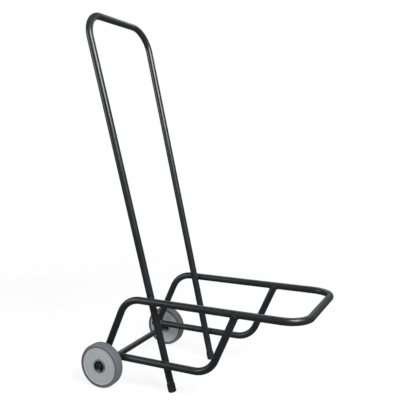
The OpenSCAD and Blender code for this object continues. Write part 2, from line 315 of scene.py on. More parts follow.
def tee_path(joint, away):
    """The ring where a tube that runs away from a joint meets a rail along X."""
    weld = settings("cart_weld")
    rail = Vector((1, 0, 0))
    lean = away.dot(rail)
    square = (away - rail * lean).normalized()
    rise = math.sqrt(1 - lean * lean)
    sideways = rail.cross(square)
    outward = square * lean - rail * rise
    slim = SLIM_END * TUBE_R

    def point(turn):
        reach = math.sqrt(TUBE_R ** 2 - (slim * math.sin(turn)) ** 2)
        along = (reach - TUBE_R * math.cos(turn) * lean) / rise
        round_tube = outward * math.cos(turn) + sideways * math.sin(turn)
        place = joint + away * along + round_tube * TUBE_R
        from_rail = place - joint
        from_rail -= rail * from_rail.dot(rail)
        return place, (round_tube + from_rail.normalized()).normalized()

    def path(turn):
        step = 0.01
        place, out = point(turn)
        way = (point(turn + step)[0] - point(turn - step)[0]).normalized()
        out = (out - way * out.dot(way)).normalized()
        return place, out, out.cross(way), weld.bead_rise, weld.bead_side

    return path


def crossing_path(contact, lift, rod_way, rod_r, gap):
    """The ring round the point where a rail along X rests on a crossing rod, lift from rod to rail."""
    weld = settings("cart_weld")
    rail = Vector((1, 0, 0))
    across = lift.cross(rail)

    def path(turn):
        out = rail * math.cos(turn) + across * math.sin(turn)
        spot = out * weld.puddle_reach
        off_rail = spot.dot(across)
        off_rod = spot.dot(lift.cross(rod_way))
        above = gap / 2 + TUBE_R - math.sqrt(TUBE_R ** 2 - off_rail ** 2)
        below = gap / 2 + rod_r - math.sqrt(rod_r ** 2 - off_rod ** 2)
        place = contact + spot + lift * ((above - below) / 2)
        half_side = (above + below) / 2 + LAP * weld.bead_side
        return place, out, lift, weld.bead_rise, half_side

    return path


def rail_joint(x, height, side):
    return Vector((x, rail_y(height, side), height))


def build_tee_beads(name, node, tube_node, height, upward, material):
    """Beads round the tubes that end on a rail at one height, on both sides."""
    mesh = bmesh.new()
    for side in SIDES.values():
        line = tube_line(tube_node(side), side)
        joint = rail_joint(at_level(line, height).x, height, side)
        ripple_bead(mesh, tee_path(joint, line[1] * upward), WHOLE_TURN * SADDLE_STRETCH * TUBE_R)
    bmesh.ops.recalc_face_normals(mesh, faces=mesh.faces[:])
    return add_piece(mesh, name, "frame", (node,), material)


def build_upright_beads(material):
    """Beads between each upright and the two rails that it crosses, on both sides."""
    mesh = bmesh.new()
    for side in SIDES.values():
        for height in (LOW_RAIL.z, HIGH_RAIL.z):
            middle = level_cut("handle_frame", height, side)[0]
            way = tube_line("handle_frame", side)[1]
            lift = Vector((1, 0, 0)).cross(way).normalized()
            joint = rail_joint(middle.x, height, side)
            apart = (joint - middle).dot(lift)
            lift *= math.copysign(1, apart)
            gap = abs(apart) - 2 * TUBE_R
            path = crossing_path(joint - lift * abs(apart) / 2, lift, way, TUBE_R, gap)
            ripple_bead(mesh, path, WHOLE_TURN * settings("cart_weld").puddle_reach)
    bmesh.ops.recalc_face_normals(mesh, faces=mesh.faces[:])
    return add_piece(
        mesh, "weld_ripples_uprights", "frame", ("weld_beads_uprights",), material)


def build_axle_beads(material):
    """Beads between the axle bar and the lower rails that lie on it."""
    mesh = bmesh.new()
    axle_x = box_middle("axle").x
    gap = LOW_RAIL.z - AXLE_H - TUBE_R - AXLE_R
    for side in SIDES.values():
        contact = Vector((axle_x, rail_y(LOW_RAIL.z, side), AXLE_H + AXLE_R + gap / 2))
        path = crossing_path(contact, Vector((0, 0, 1)), Vector((0, 1, 0)), AXLE_R, gap)
        ripple_bead(mesh, path, WHOLE_TURN * settings("cart_weld").puddle_reach)
    bmesh.ops.recalc_face_normals(mesh, faces=mesh.faces[:])
    return add_piece(mesh, "weld_ripples_axle", "frame", ("weld_beads_axle",), material)


# ---------------------------------------------------------------- feet and plugs

CAP_STEPS = 72
RIB_RISE = 0.00035
LIP_HEIGHT = 0.1
# Corners of a cap's rib and raised lip: raised or not, and how many lip heights below the top
RIB_SHAPE = ((0, 2.6), (1, 2.4), (1, 2.0), (0, 1.8), (0, 1.1), (1, 0.9), (1, 0))
CAP_ROUNDING = 0.0012
# Places in a cap's outline of the corners that stay sharp
RIB_CORNERS = (2, 3, 4, 5, 6, 7)
# Wall of the tube that a plug's stem is pushed into
PLUG_WALL = 0.0015
PLUG_HEAD = 0.18
PLUG_DOME = ((0.55, 0.0002), (0.86, 0.0008), (1.0, 0.002))
PLUG_ROUNDING = 0.0004


def build_foot_cap(side_name, material):
    """A moulded rubber cap with a fine rib and a raised lip, worn flat where it meets the floor."""
    side = SIDES[side_name]
    node = "foot_cap_" + side_name
    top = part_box(node)[1].z
    start, way = tube_line("handle_frame", side)
    foot = at_level((start, way), 0)
    slant = math.sqrt(1 - way.z ** 2)
    cap_r = level_cut(node, top / 2, side)[1].y
    height = (top - cap_r * slant) / way.z
    floor = (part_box("handle_frame")[0].z + TUBE_R * slant) / way.z
    lip = LIP_HEIGHT * height
    ribs = [(cap_r + RIB_RISE * raised, height - down * lip) for raised, down in RIB_SHAPE]
    outline = [(0, 0), (cap_r, 0), *ribs, (TUBE_R, height), (TUBE_R, floor), (0, floor)]
    mesh = turned(outline, CAP_STEPS, CAP_ROUNDING, plain=RIB_CORNERS)
    bmesh.ops.transform(mesh, matrix=placed(foot, way), verts=mesh.verts[:])
    parts = mesh.verts[:] + mesh.edges[:] + mesh.faces[:]
    cut = bmesh.ops.bisect_plane(
        mesh, geom=parts, plane_co=(0, 0, 0), plane_no=(0, 0, -1), clear_outer=True)["geom_cut"]
    rim = [part for part in cut if isinstance(part, bmesh.types.BMEdge)]
    bmesh.ops.edgeloop_fill(mesh, edges=rim)
    bmesh.ops.recalc_face_normals(mesh, faces=mesh.faces[:])
    return add_piece(mesh, "rubber_cap_" + side_name, "frame", (node,), material)


def build_rail_plug(side_name, material):
    """A domed push-in plug that closes a lower rail's back end."""
    node = "rail_plug_" + side_name
    low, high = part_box(node)
    back = Vector((low.x, box_middle(node).y, box_middle(node).z))
    depth = high.x - low.x
    head = PLUG_HEAD * depth
    stem_r = TUBE_R - PLUG_WALL
    dome = [(reach * TUBE_R, fall) for reach, fall in PLUG_DOME]
    outline = [(0, 0), *dome, (TUBE_R, head), (stem_r, head), (stem_r, depth), (0, depth)]
    mesh = turned(outline, CAP_STEPS, PLUG_ROUNDING)
    inward = placed(back, Vector((1, 0, 0)), Vector((0, 0, 1)))
    bmesh.ops.transform(mesh, matrix=inward, verts=mesh.verts[:])
    return add_piece(mesh, "end_plug_" + side_name, "frame", (node,), material)


# ---------------------------------------------------------------- wheels

WHEEL_STEPS = 160
HUB_STEPS = 96
SHOULDER_STEPS = 7
# Places of the tread grooves across the tread, as shares of its half width
GROOVES = (0.42, 0.0, -0.42)
# Width of a groove at the tread, compared with its floor
GROOVE_FLARE = 1.6
LIP_DEPTH = 0.0004
LIP_WIDTH = 0.0008
# Draft of a moulded step, and rounding of the moulding's corners
DRAFT = 0.0004
RIM_ROUNDING = 0.00035
PIN_R = 0.0016
PIN_TAPER = 0.85
PIN_DEPTH = 0.0008
PIN_SINK = 0.0002
PIN_STEPS = 20
HUB_ROUNDING = 0.0003
CLIP_ROUNDING = 0.00035
# Distances closer than this are taken as the same
SAME = 1e-4


def wheel_facts(side_name):
    """Middle, half width, seat radius and tread radius of a wheel, from its CAD tyre."""
    node = "tyre_" + side_name
    middle = box_middle(node)
    seat, tread = radii(node, middle)
    return middle, box_size(node).y / 2, seat, tread


def outward_from(middle, side, end=1):
    """Turns a part that is drawn round Z so that Z points out of the cart, or in."""
    return placed(middle, Vector((0, side * end, 0)))


def build_tyre(side_name, material):
    """A rubber tyre with a bevelled lip by the rim, rounded shoulders and fine tread grooves."""
    wheel = settings("cart_wheel")
    middle, half, seat, tread = wheel_facts(side_name)
    face = radii("rim_outer_" + side_name, middle)[1]
    inset = half - wheel.rim_dish - wheel.rim_wall
    bend = wheel.shoulder
    outline = [
        (seat, -inset), (seat, inset), (face, inset), (face, half - LIP_DEPTH), (face + LIP_WIDTH, half)]
    for step in range(SHOULDER_STEPS + 1):
        angle = math.pi / 2 * (1 - step / SHOULDER_STEPS)
        outline.append((tread - bend + bend * math.cos(angle), half - bend + bend * math.sin(angle)))
    edge = wheel.groove_width / 2
    floor = tread - wheel.groove_depth
    for groove in GROOVES:
        spot = groove * half
        outline += [
            (tread, spot + edge * GROOVE_FLARE), (floor, spot + edge),
            (floor, spot - edge), (tread, spot - edge * GROOVE_FLARE)]
    for step in range(SHOULDER_STEPS + 1):
        angle = math.pi / 2 * step / SHOULDER_STEPS
        outline.append((tread - bend + bend * math.cos(angle), bend - half - bend * math.sin(angle)))
    outline += [(face + LIP_WIDTH, -half), (face, LIP_DEPTH - half), (face, -inset)]
    mesh = turned(outline, WHEEL_STEPS)
    bmesh.ops.transform(mesh, matrix=outward_from(middle, SIDES[side_name]), verts=mesh.verts[:])
    return add_piece(
        mesh, "rubber_tyre_" + side_name, "wheel_" + side_name, ("tyre_" + side_name,), material)


def build_rim(side_name, end_name, material):
    """A moulded rim half: dished face, two raised rings, hub recess and ejector pin marks."""
    wheel = settings("cart_wheel")
    node = f"rim_{end_name}_{side_name}"
    middle, half, seat, _ = wheel_facts(side_name)
    hole, face = radii(node, middle)
    wall, ring, rise = wheel.rim_wall, wheel.ring_width, wheel.ring_rise
    front = half - wheel.rim_dish
    back = front - wall
    recess = wheel.recess_radius
    hub_face = front - wheel.recess_depth
    mid_ring = recess + 0.5 * (face - recess)
    hub = hole + 2 * wall
    outline = [
        (hole, 0), (hole, hub_face), (recess - DRAFT, hub_face), (recess, front),
        (mid_ring, front), (mid_ring + DRAFT, front + rise), (mid_ring + ring, front + rise),
        (mid_ring + ring + DRAFT, front), (face - ring - DRAFT, front), (face - ring, front + rise),
        (face, front + rise), (face, back), (seat, back), (seat, 0), (seat - wall, 0), (seat - wall, back),
        (recess + wall, back), (recess + wall, hub_face - wall), (hub, hub_face - wall), (hub, 0)]
    mesh = turned(outline, WHEEL_STEPS, RIM_ROUNDING)
    reach = (mid_ring + face) / 2
    for pip in range(wheel.pips):
        angle = WHOLE_TURN * (pip + 0.5) / wheel.pips
        spot = Vector((reach * math.cos(angle), reach * math.sin(angle), front - PIN_SINK))
        bmesh.ops.create_cone(
            mesh, cap_ends=True, segments=PIN_STEPS, radius1=PIN_R, radius2=PIN_TAPER * PIN_R,
            depth=PIN_DEPTH, matrix=Matrix.Translation(spot))
    side = SIDES[side_name]
    bmesh.ops.transform(mesh, matrix=outward_from(middle, side, ENDS[end_name]), verts=mesh.verts[:])
    bmesh.ops.recalc_face_normals(mesh, faces=mesh.faces[:])
    return add_piece(
        mesh, f"moulded_rim_{end_name}_{side_name}", "wheel_" + side_name, (node,), material)


def build_turned_ring(node, name, body, material):
    """A flat ring or flanged sleeve, spun again from its CAD node's sizes with rounded edges."""
    side_name = node.rsplit("_", 1)[1]
    end = ENDS[node.split("_")[1]] * SIDES[side_name]
    middle = wheel_facts(side_name)[0]
    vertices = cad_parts[node].data.vertices
    spots = sorted({
        (round(math.hypot(v.co.x - middle.x, v.co.z - middle.z), 5), round((v.co.y - middle.y) * end, 5))
        for v in vertices})
    hole = min(reach for reach, _ in spots)
    outer = max(reach for reach, _ in spots)
    low = min(height for _, height in spots)
    high = max(height for _, height in spots)
    flange = min(height for reach, height in spots if reach > outer - SAME)
    outline = [(hole, low), (hole, high), (outer, high), (outer, flange)]
    if flange > low + SAME:
        body_r = max(reach for reach, height in spots if height < low + SAME)
        outline += [(body_r, flange), (body_r, low)]
    mesh = turned(outline, HUB_STEPS, HUB_ROUNDING)
    bmesh.ops.transform(mesh, matrix=placed(middle, Vector((0, end, 0))), verts=mesh.verts[:])
    return add_piece(mesh, name, body, (node,), material)


def build_clip(node, name, material):
    """A spring clip pressed from sheet, its cut edges rounded."""
    mesh = bevel_corners(merged_copy(node), CLIP_ROUNDING)
    return add_piece(mesh, name, "frame", (node,), material)


# ---------------------------------------------------------------- materials

def new_group(name, inputs, outputs):
    """An empty shader node group with named sockets, and its inner nodes."""
    group = bpy.data.node_groups.new(name, "ShaderNodeTree")
    for label, kind, default in inputs:
        socket = group.interface.new_socket(name=label, in_out="INPUT", socket_type=kind)
        socket.default_value = default
    for label, kind in outputs:
        group.interface.new_socket(name=label, in_out="OUTPUT", socket_type=kind)
    return group, group.nodes.new("NodeGroupInput"), group.nodes.new("NodeGroupOutput")


def add_node(tree, kind, values=None, **attributes):
    node = tree.nodes.new(kind)
    for key, value in attributes.items():
        setattr(node, key, value)
    for key, value in (values or {}).items():
        node.inputs[key].default_value = value
    return node


def link(tree, source, output, target, socket):
    tree.links.new(source.outputs[output], target.inputs[socket])


def noise(tree, place, scale, detail=3.0, roughness=0.55):
    node = add_node(tree, "ShaderNodeTexNoise", {"Scale": scale, "Detail": detail, "Roughness": roughness})
    tree.links.new(place, node.inputs["Vector"])
    return node.outputs["Fac"]


def ramp(tree, source, low, high, to_low=0.0, to_high=1.0):
    node = add_node(tree, "ShaderNodeMapRange", {
        "From Min": low, "From Max": high, "To Min": to_low, "To Max": to_high})
    node.clamp = True
    node.interpolation_type = "SMOOTHSTEP"
    tree.links.new(source, node.inputs["Value"])
    return node.outputs["Result"]


def maths(tree, operation, first, second=0.0):
    """The result of one sum, whose sides are numbers or sockets."""
    node = add_node(tree, "ShaderNodeMath", operation=operation)
    for socket, value in zip(node.inputs, (first, second)):
        if isinstance(value, (int, float)):
            socket.default_value = value
        else:
            tree.links.new(value, socket)
    return node.outputs[0]


def plus(tree, base, extra, factor):
    """A base with a share of something extra on top."""
    return maths(tree, "ADD", base, maths(tree, "MULTIPLY", extra, factor))


def mixed(tree, factor, first, second):
    """A blend of two colours, each of which is a value or a socket."""
    node = add_node(tree, "ShaderNodeMix", data_type="RGBA")
    for socket, value in ((node.inputs[0], factor), (node.inputs[6], first), (node.inputs[7], second)):
        if isinstance(value, bpy.types.NodeSocket):
            tree.links.new(value, socket)
        else:
            socket.default_value = value
    return node.outputs[2]


def full(rgb):
    return (*rgb, 1.0)


def scaled(rgb, factor):
    return (*(channel * factor for channel in rgb), 1.0)


def make_surface_group():
    """Fine grain, slow mottling and drifting roughness, for every finish."""
    group, start, end = new_group(
        "Surface variation",
        [("Vector", "NodeSocketVector", (0, 0, 0)), ("Grain size", "NodeSocketFloat", 0.002),
         ("Base roughness", "NodeSocketFloat", 0.4), ("Roughness drift", "NodeSocketFloat", 0.08)],
        [("Height", "NodeSocketFloat"), ("Mottle", "NodeSocketFloat"), ("Roughness", "NodeSocketFloat")])
    inverse = maths(group, "DIVIDE", 1.0, start.outputs["Grain size"])
    grain = add_node(group, "ShaderNodeTexNoise", {"Detail": 2.0, "Roughness": 0.5})
    link(group, start, "Vector", grain, "Vector")
    group.links.new(inverse, grain.inputs["Scale"])
    fine_scale = maths(group, "MULTIPLY", inverse, 6.0)
    fine = add_node(group, "ShaderNodeTexNoise", {"Detail": 3.0, "Roughness": 0.6})
    link(group, start, "Vector", fine, "Vector")
    group.links.new(fine_scale, fine.inputs["Scale"])
    height = plus(group, grain.outputs["Fac"], fine.outputs["Fac"], 0.25)
    group.links.new(height, end.inputs["Height"])
    mottle = ramp(group, noise(group, start.outputs["Vector"], 9.0, 5.0), 0.3, 0.7)
    group.links.new(mottle, end.inputs["Mottle"])
    off_middle = maths(group, "SUBTRACT", mottle, 0.5)
    drift = maths(group, "MULTIPLY", off_middle, start.outputs["Roughness drift"])
    grit = maths(group, "MULTIPLY", maths(group, "SUBTRACT", fine.outputs["Fac"], 0.5), 0.1)
    rough = maths(group, "ADD", maths(group, "ADD", start.outputs["Base roughness"], drift), grit)
    group.links.new(rough, end.inputs["Roughness"])
    return group


def make_scuff_group():
    """Thin scratches and small chips, more of them where wear is high."""
    group, start, end = new_group(
        "Scuffs and chips",
        [("Vector", "NodeSocketVector", (0, 0, 0)), ("Amount", "NodeSocketFloat", 0.5),
         ("Size", "NodeSocketFloat", 0.01)],
        [("Scratch", "NodeSocketFloat"), ("Chip", "NodeSocketFloat")])
    inverse = maths(group, "DIVIDE", 1.0, start.outputs["Size"])
    stretch = add_node(
        group, "ShaderNodeMapping", {"Scale": (1.0, 0.35, 0.12), "Rotation": (0.5, 0.25, 0.9)})
    link(group, start, "Vector", stretch, "Vector")
    lines = add_node(group, "ShaderNodeTexNoise", {"Detail": 4.0, "Roughness": 0.65, "Distortion": 0.4})
    group.links.new(stretch.outputs["Vector"], lines.inputs["Vector"])
    group.links.new(maths(group, "MULTIPLY", inverse, 2.5), lines.inputs["Scale"])
    patches = ramp(group, noise(group, start.outputs["Vector"], 16.0, 3.0), 0.52, 0.66)
    away = maths(group, "ABSOLUTE", maths(group, "SUBTRACT", lines.outputs["Fac"], 0.5))
    thin = ramp(group, away, 0.0, 0.012, 1.0, 0.0)
    scratch = maths(group, "MULTIPLY", maths(group, "MULTIPLY", thin, patches), start.outputs["Amount"])
    group.links.new(scratch, end.inputs["Scratch"])
    cells = add_node(group, "ShaderNodeTexVoronoi", {"Randomness": 1.0})
    link(group, start, "Vector", cells, "Vector")
    group.links.new(inverse, cells.inputs["Scale"])
    rare = ramp(group, noise(group, start.outputs["Vector"], 31.0, 2.0), 0.62, 0.68)
    dots = ramp(group, cells.outputs["Distance"], 0.06, 0.11, 1.0, 0.0)
    chip = maths(group, "MULTIPLY", maths(group, "MULTIPLY", dots, rare), start.outputs["Amount"])
    group.links.new(chip, end.inputs["Chip"])
    return group


def make_dust_group():
    """Dust on faces that look up and grime that fades out with height above the floor."""
    group, start, end = new_group(
        "Dust and grime",
        [("Vector", "NodeSocketVector", (0, 0, 0)), ("Normal", "NodeSocketVector", (0, 0, 1)),
         ("Dust", "NodeSocketFloat", 0.1), ("Grime height", "NodeSocketFloat", 0.12)],
        [("Dust mask", "NodeSocketFloat"), ("Grime mask", "NodeSocketFloat")])
    facing = add_node(group, "ShaderNodeSeparateXYZ")
    link(group, start, "Normal", facing, "Vector")
    upward = ramp(group, facing.outputs["Z"], 0.35, 1.0)
    cloud = ramp(group, noise(group, start.outputs["Vector"], 38.0, 6.0, 0.65), 0.35, 0.75)
    dust = maths(group, "MULTIPLY", maths(group, "MULTIPLY", upward, cloud), start.outputs["Dust"])
    group.links.new(dust, end.inputs["Dust mask"])
    place = add_node(group, "ShaderNodeSeparateXYZ")
    link(group, start, "Vector", place, "Vector")
    climb = maths(group, "DIVIDE", place.outputs["Z"], start.outputs["Grime height"])
    near = maths(group, "SUBTRACT", 1.0, climb)
    grime = maths(group, "MULTIPLY", ramp(group, near, 0.0, 1.0), cloud)
    group.links.new(grime, end.inputs["Grime mask"])
    return group


def make_wheel_group():
    """Distance from a wheel's axis, which is the same for both wheels, and fine rings round it."""
    group, start, end = new_group(
        "Rings round the axle",
        [("Vector", "NodeSocketVector", (0, 0, 0)), ("Ring size", "NodeSocketFloat", 0.002)],
        [("Radius", "NodeSocketFloat"), ("Rings", "NodeSocketFloat")])
    centre = wheel_facts("left")[0]
    shift = add_node(group, "ShaderNodeMapping", {"Location": (-centre.x, 0, -centre.z)})
    link(group, start, "Vector", shift, "Vector")
    flat = add_node(group, "ShaderNodeVectorMath", operation="MULTIPLY")
    group.links.new(shift.outputs["Vector"], flat.inputs[0])
    flat.inputs[1].default_value = (1, 0, 1)
    size = add_node(group, "ShaderNodeVectorMath", operation="LENGTH")
    group.links.new(flat.outputs["Vector"], size.inputs[0])
    group.links.new(size.outputs["Value"], end.inputs["Radius"])
    around = maths(group, "MULTIPLY", size.outputs["Value"], WHOLE_TURN)
    turns = maths(group, "DIVIDE", around, start.outputs["Ring size"])
    group.links.new(maths(group, "SINE", turns), end.inputs["Rings"])
    return group


GROUPS = {}


def effect(tree, name, place, **values):
    """Places one of the shared effects in a material."""
    node = add_node(tree, "ShaderNodeGroup")
    node.node_tree = GROUPS[name]
    tree.links.new(place, node.inputs["Vector"])
    for key, value in values.items():
        node.inputs[key.replace("_", " ")].default_value = value
    return node.outputs


def new_material(name, **constants):
    """A material with its shader, its place on the piece, and the shader's plain values."""
    material = bpy.data.materials.new(name)
    material.use_nodes = True
    tree = material.node_tree
    shader = tree.nodes["Principled BSDF"]
    for key, value in constants.items():
        shader.inputs[key.replace("_", " ")].default_value = value
    place = add_node(tree, "ShaderNodeTexCoord").outputs["Object"]
    return material, tree, shader, place


def bump(tree, shader, height, depth, strength):
    """Dents and ridges of a real depth, in metres."""
    node = add_node(tree, "ShaderNodeBump", {"Strength": strength, "Distance": depth})
    tree.links.new(height, node.inputs["Height"])
    tree.links.new(node.outputs["Normal"], shader.inputs["Normal"])


def facing_of(tree):
    return add_node(tree, "ShaderNodeNewGeometry").outputs["Normal"]


def dusty(tree, place, colour_now, dust, grime_height, strength):
    """Dust over a colour, then grime near the floor, and the mask of the dust."""
    dust_colour = full(settings("cart_finish").dust_colour)
    masks = effect(tree, "dust", place, Dust=dust, Grime_height=grime_height)
    tree.links.new(facing_of(tree), masks["Dust mask"].node.inputs["Normal"])
    once = mixed(tree, masks["Dust mask"], colour_now, dust_colour)
    soft = maths(tree, "MULTIPLY", masks["Grime mask"], strength)
    return mixed(tree, soft, once, dust_colour), masks["Dust mask"]


# What shows in scratches and chips of the coat, in scratched rubber and plastic, and in grease
COAT_SCRATCH = (0.07, 0.07, 0.072, 1)
COAT_CHIP = (0.16, 0.16, 0.165, 1)
CAP_SCRATCH = (0.05, 0.05, 0.05, 1)
PLUG_SCRATCH = (0.09, 0.09, 0.09, 1)
AXLE_GREASE = (0.09, 0.08, 0.06, 1)


def make_powder_coat(name, roughness_extra=0.0, peel_extra=1.0):
    """Black powder coat with orange peel, a few scratches and chips, and a little dust."""
    finish = settings("cart_finish")
    material, tree, shader, place = new_material(
        name, Specular_IOR_Level=0.42, Coat_Weight=0.15, Coat_Roughness=0.12)
    base = finish.coat_colour
    surface = effect(
        tree, "surface", place, Grain_size=finish.peel_size,
        Base_roughness=finish.coat_roughness + roughness_extra, Roughness_drift=0.08)
    scuffs = effect(tree, "scuffs", place, Amount=0.25, Size=0.012)
    tone = mixed(tree, surface["Mottle"], scaled(base, 0.85), scaled(base, 1.2))
    worn = mixed(tree, scuffs["Scratch"], tone, COAT_SCRATCH)
    chipped = mixed(tree, scuffs["Chip"], worn, COAT_CHIP)
    final, dust = dusty(tree, place, chipped, dust=0.05, grime_height=0.09, strength=0.12)
    tree.links.new(final, shader.inputs["Base Color"])
    rough = plus(tree, surface["Roughness"], dust, 1.5)
    tree.links.new(plus(tree, rough, scuffs["Scratch"], 0.2), shader.inputs["Roughness"])
    dents = plus(tree, surface["Height"], scuffs["Chip"], -1.5)
    bump(tree, shader, dents, depth=0.00005 * peel_extra, strength=0.5)
    return material


def make_tyre_rubber():
    """Grey rubber with painted shade by the rim, and paler where the tread rubs the floor."""
    finish, wheel = settings("cart_finish"), settings("cart_wheel")
    material, tree, shader, place = new_material("Grey tyre rubber", Specular_IOR_Level=0.35)
    base = wheel.tyre_colour
    surface = effect(tree, "surface", place, Grain_size=0.0016, Base_roughness=0.62, Roughness_drift=0.14)
    rings = effect(tree, "rings", place, Ring_size=0.0011)
    scuffs = effect(tree, "scuffs", place, Amount=0.5, Size=0.014)
    _, _, seat, tread = wheel_facts("left")
    tone = mixed(tree, surface["Mottle"], scaled(base, 0.88), scaled(base, 1.14))
    # Painted shade: the sidewall next to the rim is darkened, as the crease between tyre and rim would be
    painted_shade_by_rim = ramp(tree, rings["Radius"], tread - 0.6 * (tread - seat), tread - 0.25 * (tread - seat))
    shaded = mixed(tree, painted_shade_by_rim, scaled(base, 0.62), tone)
    on_tread = ramp(tree, rings["Radius"], tread - 0.0006, tread - 0.0001)
    speckle = ramp(tree, noise(tree, place, 260.0, 4.0, 0.7), 0.4, 0.75)
    scrubbed = mixed(tree, maths(tree, "MULTIPLY", on_tread, speckle), shaded, scaled(base, 1.32))
    marked = mixed(tree, scuffs["Scratch"], scrubbed, scaled(base, 0.45))
    nicks = maths(tree, "MULTIPLY", scuffs["Chip"], 0.7)
    tree.links.new(mixed(tree, nicks, marked, full(finish.dust_colour)), shader.inputs["Base Color"])
    tree.links.new(surface["Roughness"], shader.inputs["Roughness"])
    height = plus(tree, surface["Height"], rings["Rings"], 0.12)
    bump(tree, shader, height, depth=0.00016, strength=0.7)
    return material


def make_rim_plastic():
    """Light grey moulding with turning rings, painted shade round the hub recess and a painted highlight on
    the edge ring.
    """
    wheel = settings("cart_wheel")
    material, tree, shader, place = new_material("Light grey moulding", Specular_IOR_Level=0.42)
    base = wheel.rim_colour
    surface = effect(tree, "surface", place, Grain_size=0.0009, Base_roughness=0.42, Roughness_drift=0.12)
    rings = effect(tree, "rings", place, Ring_size=0.0034)
    scuffs = effect(tree, "scuffs", place, Amount=0.45, Size=0.016)
    face = radii("rim_outer_left", wheel_facts("left")[0])[1]
    tone = mixed(tree, surface["Mottle"], scaled(base, 0.93), scaled(base, 1.06))
    banded = mixed(tree, ramp(tree, rings["Rings"], -1, 1, 0.0, 0.16), tone, scaled(base, 0.7))
    recess = wheel.recess_radius
    # Painted shade: darker towards the hub, in and round the hub recess
    painted_shade_by_hub = ramp(tree, rings["Radius"], 0.5 * recess, 1.5 * recess, 0.34, 0.0)
    hub_shaded = mixed(tree, painted_shade_by_hub, banded, scaled(base, 0.42))
    ring = wheel.ring_width
    # Painted highlight: the raised edge ring is made lighter all round
    painted_edge_highlight = ramp(tree, rings["Radius"], face - 1.5 * ring, face - 0.8 * ring, 0.0, 0.85)
    edged = mixed(tree, painted_edge_highlight, hub_shaded, scaled(base, 1.3))
    marked = mixed(tree, maths(tree, "MULTIPLY", scuffs["Scratch"], 0.5), edged, scaled(base, 0.55))
    final, dust = dusty(tree, place, marked, dust=0.08, grime_height=0.05, strength=0.3)
    tree.links.new(final, shader.inputs["Base Color"])
    tree.links.new(maths(tree, "ADD", surface["Roughness"], dust), shader.inputs["Roughness"])
    height = plus(tree, surface["Height"], rings["Rings"], 0.5)
    bump(tree, shader, height, depth=0.00007, strength=0.5)
    return material


def make_cap_rubber():
    """Black rubber with scuffs, dusty near the floor."""
    finish = settings("cart_finish")
    material, tree, shader, place = new_material("Black cap rubber", Specular_IOR_Level=0.35)
    base = finish.cap_colour
    surface = effect(tree, "surface", place, Grain_size=0.0012, Base_roughness=0.5, Roughness_drift=0.12)
    scuffs = effect(tree, "scuffs", place, Amount=0.7, Size=0.008)
    tone = mixed(tree, surface["Mottle"], scaled(base, 0.85), scaled(base, 1.3))
    marked = mixed(tree, scuffs["Scratch"], tone, CAP_SCRATCH)
    final, dust = dusty(tree, place, marked, dust=0.1, grime_height=0.012, strength=0.35)
    tree.links.new(final, shader.inputs["Base Color"])
    tree.links.new(maths(tree, "ADD", surface["Roughness"], dust), shader.inputs["Roughness"])
    bump(tree, shader, surface["Height"], depth=0.00012, strength=0.6)
    return material


def make_plug_plastic():
    """Matte black plastic with a fine spark-eroded grain."""
    finish = settings("cart_finish")
    material, tree, shader, place = new_material("Matte plug plastic", Specular_IOR_Level=0.4)
    base = finish.plug_colour
    surface = effect(tree, "surface", place, Grain_size=0.0006, Base_roughness=0.58, Roughness_drift=0.1)
    scuffs = effect(tree, "scuffs", place, Amount=0.5, Size=0.007)
    tone = mixed(tree, surface["Mottle"], scaled(base, 0.85), scaled(base, 1.25))
    marked = mixed(tree, scuffs["Scratch"], tone, PLUG_SCRATCH)
    tree.links.new(marked, shader.inputs["Base Color"])
    tree.links.new(surface["Roughness"], shader.inputs["Roughness"])
    bump(tree, shader, surface["Height"], depth=0.00009, strength=0.6)
    return material


def make_nylon():
    """Off-white nylon, with grease by the axle."""
    finish = settings("cart_finish")
    material, tree, shader, place = new_material(
        "Natural nylon", Specular_IOR_Level=0.45, Subsurface_Weight=0.12, Subsurface_Scale=0.002)
    base = finish.bush_colour
    surface = effect(tree, "surface", place, Grain_size=0.0008, Base_roughness=0.4, Roughness_drift=0.1)
    rings = effect(tree, "rings", place, Ring_size=0.0007)
    tone = mixed(tree, surface["Mottle"], scaled(base, 0.86), scaled(base, 1.05))
    grease = ramp(tree, rings["Radius"], AXLE_R, 1.35 * AXLE_R, 0.6, 0.0)
    tree.links.new(mixed(tree, grease, tone, AXLE_GREASE), shader.inputs["Base Color"])
    tree.links.new(surface["Roughness"], shader.inputs["Roughness"])
    height = plus(tree, surface["Height"], rings["Rings"], 0.4)
    bump(tree, shader, height, depth=0.00005, strength=0.5)
    return material


def make_metal(name, base, roughness, tarnish):
    """Plated or blackened sheet metal with fine turning marks and dull patches."""
    material, tree, shader, place = new_material(name, Metallic=0.9, Anisotropic=0.25)
    surface = effect(
        tree, "surface", place, Grain_size=0.0011, Base_roughness=roughness, Roughness_drift=0.18)
    rings = effect(tree, "rings", place, Ring_size=0.0006)
    scuffs = effect(tree, "scuffs", place, Amount=0.6, Size=0.006)
    tone = mixed(tree, surface["Mottle"], scaled(base, 0.8), scaled(base, 1.15))
    dull = ramp(tree, noise(tree, place, 140.0, 5.0, 0.65), 0.5, 0.72, 0.0, 0.6)
    tarnished = mixed(tree, dull, tone, tarnish)
    bright = mixed(tree, scuffs["Scratch"], tarnished, scaled(base, 1.7))
    tree.links.new(bright, shader.inputs["Base Color"])
    tree.links.new(plus(tree, surface["Roughness"], dull, 0.3), shader.inputs["Roughness"])
    height = plus(tree, surface["Height"], rings["Rings"], 0.6)
    bump(tree, shader, height, depth=0.00004, strength=0.5)
    return material


MATERIALS = {}
ZINC_TARNISH = (0.3, 0.3, 0.29, 1)
STEEL_TARNISH = (0.03, 0.026, 0.022, 1)


